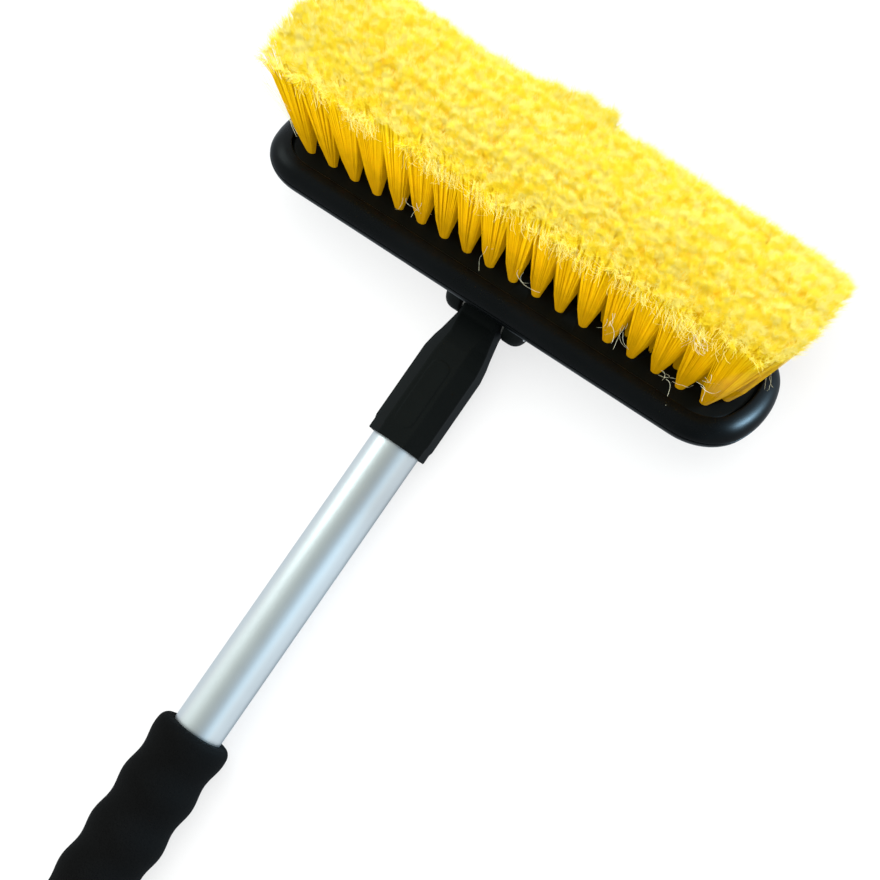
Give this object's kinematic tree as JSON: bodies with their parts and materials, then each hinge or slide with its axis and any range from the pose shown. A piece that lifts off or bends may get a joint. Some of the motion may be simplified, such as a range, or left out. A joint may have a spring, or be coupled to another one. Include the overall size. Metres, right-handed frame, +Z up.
{
  "type": "telescopic wash brush",
  "caption": "Hinged wash brush head with flared bristles and a rubber bumper on a twist-locked telescopic handle with a foam grip.",
  "frame": {"origin": "centre of the brush's footprint on the floor it lies on", "axes": "+Y along the handle from the grip to the head, +Z up away from the floor, +X along the head"},
  "size_m": [0.248, 0.6252, 0.0913],
  "materials": {
    "anodised_aluminium": "satin anodised, fine lengthwise drawing lines",
    "black_foam": "matte closed-cell foam",
    "black_plastic": "moulded, satin",
    "black_rubber": "smooth soft rubber, satin gloss",
    "grey_nylon": "moulded nylon",
    "zinc_steel": "zinc plated",
    "yellow_bristle": "soft split-tip filaments"
  },
  "bodies": {
    "handle": {"outer_tube": "anodised_aluminium", "foam_grip": "black_foam", "guide_bush": "black_plastic", "end_cap": "black_plastic"},
    "lock": {"lock_ring": "grey_nylon"},
    "shaft": {"lock_plug": "black_plastic", "lock_screw": "zinc_steel", "inner_tube": "anodised_aluminium", "neck_socket": "black_plastic", "neck_screw": "zinc_steel"},
    "head": {"brush_block": "black_plastic", "bumper": "black_rubber", "pivot_bolt": "zinc_steel", "pivot_nut": "zinc_steel", "washer_left": "grey_nylon", "washer_right": "grey_nylon", "bristle_row_1": "yellow_bristle", "bristle_row_2": "yellow_bristle", "bristle_row_3": "yellow_bristle", "bristle_row_4": "yellow_bristle", "bristle_row_5": "yellow_bristle"}
  },
  "joints": [
    {"name": "telescope_slide", "type": "slide", "parent": "handle", "child": "lock", "axis": [0, 1, 0], "range_m": [-0.139, 0.07]},
    {"name": "twist_lock", "type": "hinge", "parent": "lock", "child": "shaft", "pos_m": [0, 0, 0.01695], "axis": [0, 1, 0], "range_deg": [0, 20]},
    {"name": "head_pivot", "type": "hinge", "parent": "shaft", "child": "head", "pos_m": [0, 0.2247, 0.01695], "axis": [1, 0, 0], "range_deg": [-45, 35]}
  ]
}
